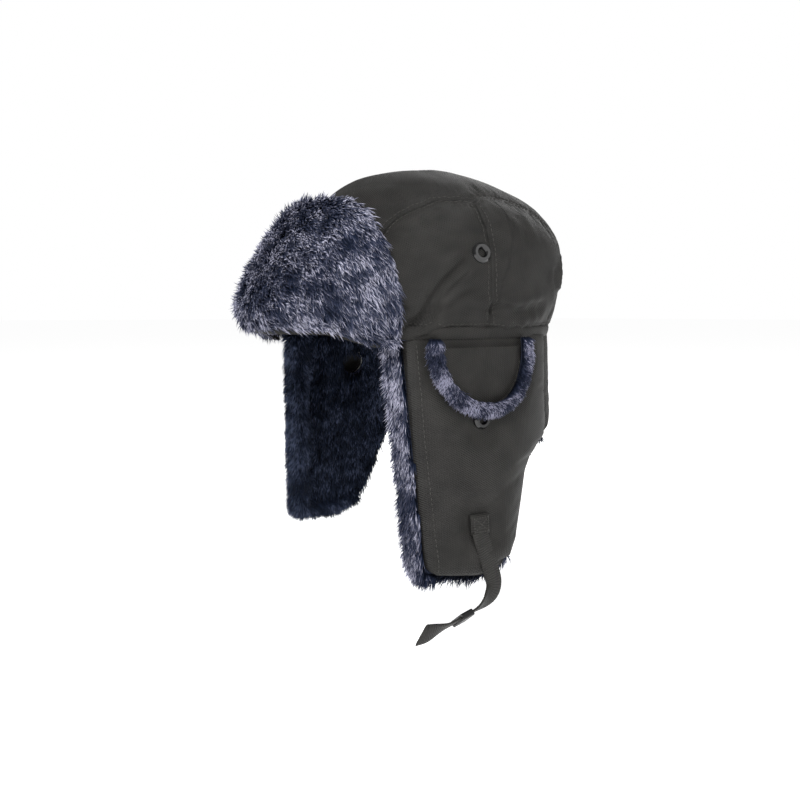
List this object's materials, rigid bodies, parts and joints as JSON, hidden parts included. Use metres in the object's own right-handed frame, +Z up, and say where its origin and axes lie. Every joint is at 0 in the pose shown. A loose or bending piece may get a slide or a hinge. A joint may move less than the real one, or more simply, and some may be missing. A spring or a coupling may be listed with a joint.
{
  "type": "trapper hat",
  "caption": "Winter trapper hat: quilted cloth crown, fold-up pile visor, pile-lined ear and neck flaps, lift-up ear covers and chin straps.",
  "frame": {"origin": "centre of the head opening at the rim, where the crown meets the flaps", "axes": "+Z up through the crown, the wearer faces -Y, +X to the wearer's left"},
  "size_m": [0.2365, 0.2588, 0.3099],
  "materials": {
    "shell_cloth": "dark twill-woven nylon with a faint sheen",
    "wadding": "polyester wadding",
    "lining": "soft quilted lining",
    "pile": "navy faux fur with pale tips",
    "snap_metal": "gloss black enamel",
    "webbing": "woven tape",
    "buckle_plastic": "moulded black plastic"
  },
  "bodies": {
    "crown": {"crown_center_panel": "shell_cloth", "crown_lining": "lining", "crown_padding": "wadding", "crown_side_back_left": "shell_cloth", "crown_side_back_right": "shell_cloth", "crown_side_front_left": "shell_cloth", "crown_side_front_right": "shell_cloth", "crown_snap_prong_left": "snap_metal", "crown_snap_prong_right": "snap_metal", "crown_snap_ring_left": "snap_metal", "crown_snap_ring_right": "snap_metal", "rim_band": "shell_cloth"},
    "visor": {"visor_padding": "wadding", "visor_pile": "pile", "visor_shell": "shell_cloth"},
    "neck_flap": {"neck_flap_padding": "wadding", "neck_flap_pile": "pile", "neck_flap_shell": "shell_cloth"},
    "ear_flap_left": {"ear_flap_padding_left": "wadding", "ear_flap_pile_left": "pile", "ear_flap_shell_left": "shell_cloth", "flap_snap_prong_left": "snap_metal", "flap_snap_ring_left": "snap_metal", "strap_patch_left": "webbing"},
    "ear_cover_left": {"ear_cover_shell_left": "shell_cloth", "ear_cover_trim_left": "pile"},
    "chin_strap_left": {"chin_strap_left": "webbing"},
    "ear_flap_right": {"ear_flap_padding_right": "wadding", "ear_flap_pile_right": "pile", "ear_flap_shell_right": "shell_cloth", "flap_snap_prong_right": "snap_metal", "flap_snap_ring_right": "snap_metal", "strap_patch_right": "webbing"},
    "ear_cover_right": {"ear_cover_shell_right": "shell_cloth", "ear_cover_trim_right": "pile"},
    "chin_strap_right": {"chin_strap_right": "webbing"},
    "strap_slider": {"strap_slider_left": "buckle_plastic"},
    "strap_ring": {"strap_ring_right": "buckle_plastic"}
  },
  "joints": [
    {"name": "visor_fold", "type": "hinge", "parent": "crown", "child": "visor", "pos_m": [0, -0.119, -0.003], "axis": [1, 0, 0], "range_deg": [0, 100]},
    {"name": "neck_flap_fold", "type": "hinge", "parent": "crown", "child": "neck_flap", "pos_m": [0, 0.1195, -0.0025], "axis": [1, 0, 0], "range_deg": [0, 150]},
    {"name": "ear_flap_left_fold", "type": "hinge", "parent": "crown", "child": "ear_flap_left", "pos_m": [0.0985, 0, -0.0025], "axis": [0, -1, 0], "range_deg": [0, 150]},
    {"name": "ear_cover_left_lift", "type": "hinge", "parent": "ear_flap_left", "child": "ear_cover_left", "pos_m": [0.0986, -0.001, -0.0065], "axis": [0, 1, 0], "range_deg": [-120, 0]},
    {"name": "ear_flap_right_fold", "type": "hinge", "parent": "crown", "child": "ear_flap_right", "pos_m": [-0.0985, 0, -0.0025], "axis": [0, 1, 0], "range_deg": [0, 150]},
    {"name": "ear_cover_right_lift", "type": "hinge", "parent": "ear_flap_right", "child": "ear_cover_right", "pos_m": [-0.0986, -0.001, -0.0065], "axis": [0, -1, 0], "range_deg": [-120, 0]},
    {"name": "chin_strap_left_swing", "type": "hinge", "parent": "ear_flap_left", "child": "chin_strap_left", "pos_m": [0.109, -0.014, -0.1315], "axis": [0, 1, 0], "range_deg": [-100, 0]},
    {"name": "chin_strap_right_swing", "type": "hinge", "parent": "ear_flap_right", "child": "chin_strap_right", "pos_m": [-0.112, -0.014, -0.131], "axis": [0, -1, 0], "range_deg": [-100, 0]},
    {"name": "strap_ring_swing", "type": "hinge", "parent": "chin_strap_right", "child": "strap_ring", "pos_m": [-0.112, -0.014, -0.146], "axis": [0, -1, 0], "range_deg": [-90, 0]},
    {"name": "strap_slider_slide", "type": "slide", "parent": "chin_strap_left", "child": "strap_slider", "axis": [0.0116, -0.9821, -0.1878], "range_m": [0, 0.007]}
  ]
}
